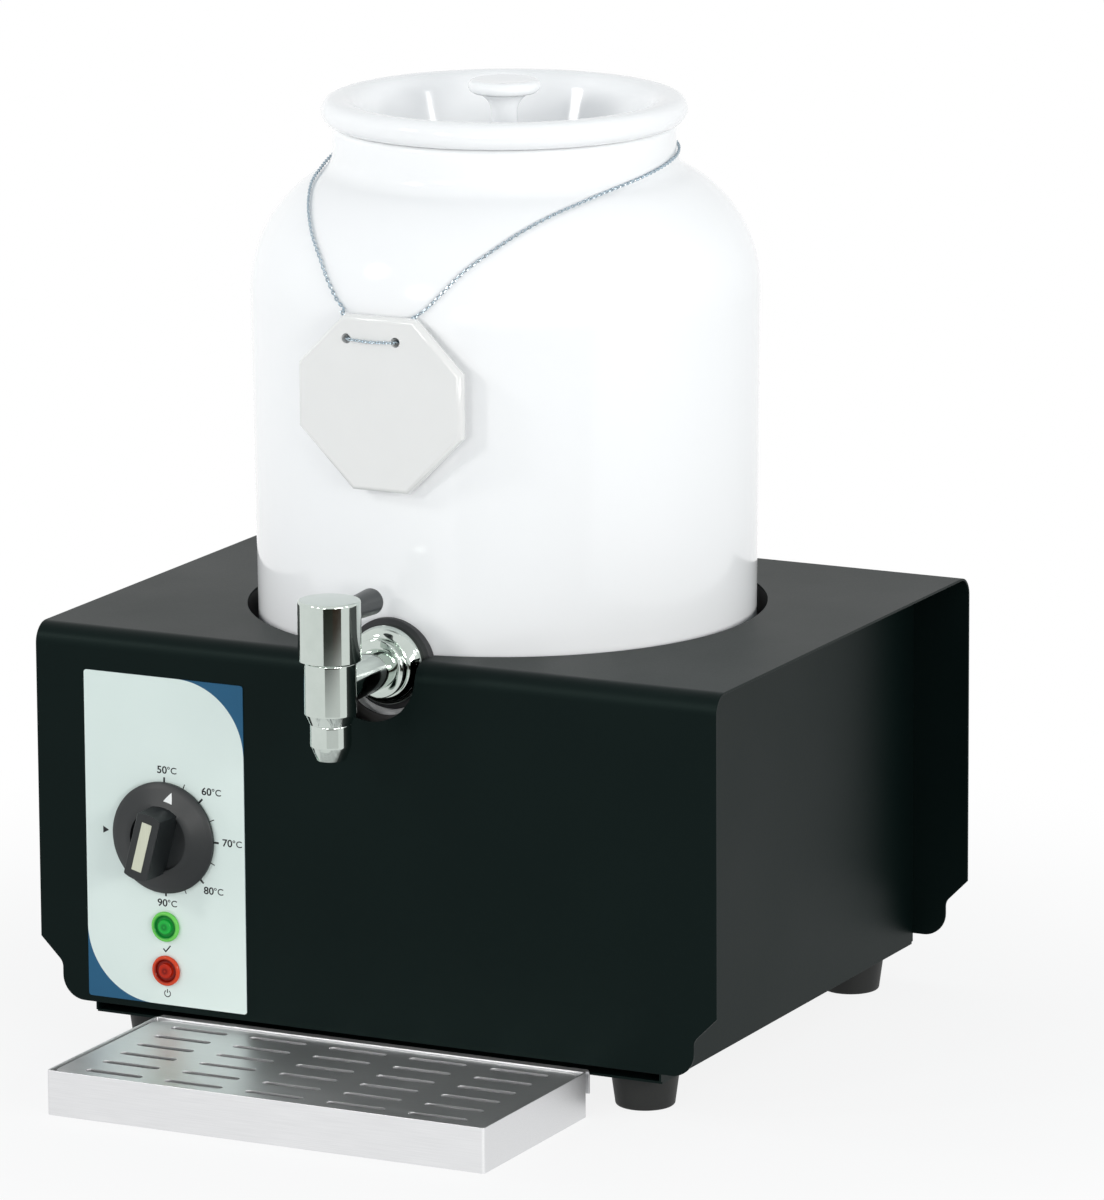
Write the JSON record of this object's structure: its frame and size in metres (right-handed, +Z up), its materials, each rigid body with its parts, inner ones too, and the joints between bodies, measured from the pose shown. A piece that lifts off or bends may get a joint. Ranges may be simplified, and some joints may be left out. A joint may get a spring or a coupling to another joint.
{
  "type": "milk dispenser",
  "caption": "Heated milk dispenser: a white ceramic jar with a sunken lid, a tap and a blank tag on a chain stands in a black metal base with a dial, lamps and a slotted drip tray.",
  "frame": {"origin": "on the table, under the middle of the whole object's box", "axes": "+Z up; the tap, the dial and the drip tray face -Y; +X is to the right as seen from the front"},
  "size_m": [0.37, 0.42, 0.4737],
  "materials": {
    "powder_coat": "satin black powder coat with a fine orange peel",
    "zinc": "zinc plated",
    "foot_rubber": "moulded black rubber",
    "stainless": "brushed stainless steel",
    "well_steel": "dull stainless steel",
    "heater_sheath": "heat-tinted steel tube",
    "phenolic": "pale moulded insulation",
    "nylon": "black nylon",
    "copper": "drawn copper",
    "label_print": "printed pale label with two blue corners",
    "lens_green": "translucent green",
    "lens_red": "translucent red",
    "knob_grey": "satin dark grey moulding",
    "insert_metal": "satin aluminium strip",
    "porcelain": "white glaze",
    "chrome": "polished chrome",
    "seal_rubber": "black rubber",
    "silicone": "white silicone",
    "plug_plastic": "white acetal",
    "lever_black": "dark grey moulding",
    "chain_steel": "fine steel chain",
    "wire_cover": "coloured wire insulation"
  },
  "bodies": {
    "base": {"outer_casing": "powder_coat", "left_side_panel": "powder_coat", "right_side_panel": "powder_coat", "base_plate": "powder_coat", "base_plate_screws": "zinc", "rear_screws": "nylon", "foot_front_left": "foot_rubber", "foot_front_right": "foot_rubber", "foot_rear_left": "foot_rubber", "foot_rear_right": "foot_rubber", "foot_screws": "zinc", "heating_well": "well_steel", "jar_support": "stainless", "heating_element": "heater_sheath", "element_clamp": "zinc", "clamp_nut": "zinc", "overheat_cutout": "phenolic", "thermostat_body": "phenolic", "thermostat_nut": "zinc", "capillary_tube": "copper", "sensor_bulb": "copper", "bulb_clip": "stainless", "control_label": "label_print", "ready_lamp_lens": "lens_green", "power_lamp_lens": "lens_red", "lamp_bodies": "nylon", "lamp_nuts": "zinc", "terminal_block": "phenolic", "cable_gland": "nylon", "gland_nut": "nylon", "wiring": "wire_cover"},
    "knob": {"thermostat_shaft": "zinc", "control_knob": "knob_grey", "knob_insert": "insert_metal"},
    "jar": {"jar": "porcelain", "tap_gasket": "seal_rubber", "tap_flange": "chrome", "tap_body": "chrome", "tap_nozzle": "chrome", "inner_gasket": "silicone", "tap_back_nut": "zinc", "neck_chain": "chain_steel"},
    "tap_valve": {"tap_plug": "plug_plastic", "plug_seals": "seal_rubber", "tap_cap": "chrome", "lever_pin": "zinc", "tap_lever": "lever_black"},
    "lid": {"lid": "porcelain"},
    "tag": {"tag_plate": "porcelain", "tag_chain": "chain_steel"},
    "tray": {"drip_tray": "stainless"},
    "grid": {"drip_grid": "stainless"}
  },
  "joints": [
    {"name": "jar_lift", "type": "slide", "parent": "base", "child": "jar", "axis": [0, 0, 1], "range_m": [0, 0.12]},
    {"name": "lid_lift", "type": "slide", "parent": "jar", "child": "lid", "axis": [0, 0, 1], "range_m": [0, 0.06]},
    {"name": "tap_turn", "type": "hinge", "parent": "jar", "child": "tap_valve", "pos_m": [0, -0.1374, 0.2065], "axis": [0, 0, 1], "range_deg": [-90, 90]},
    {"name": "knob_turn", "type": "hinge", "parent": "base", "child": "knob", "pos_m": [-0.11375, -0.0974, 0.1127], "axis": [0, 1, 0], "range_deg": [-105, 165]},
    {"name": "tag_swing", "type": "hinge", "parent": "jar", "child": "tag", "pos_m": [-0.004, -0.0767, 0.3779], "axis": [-1, 0, 0], "range_deg": [0, 60]},
    {"name": "tray_pull", "type": "slide", "parent": "base", "child": "tray", "axis": [0, -1, 0], "range_m": [0, 0.15]},
    {"name": "grid_lift", "type": "slide", "parent": "tray", "child": "grid", "axis": [0, 0, 1], "range_m": [0, 0.06]}
  ]
}
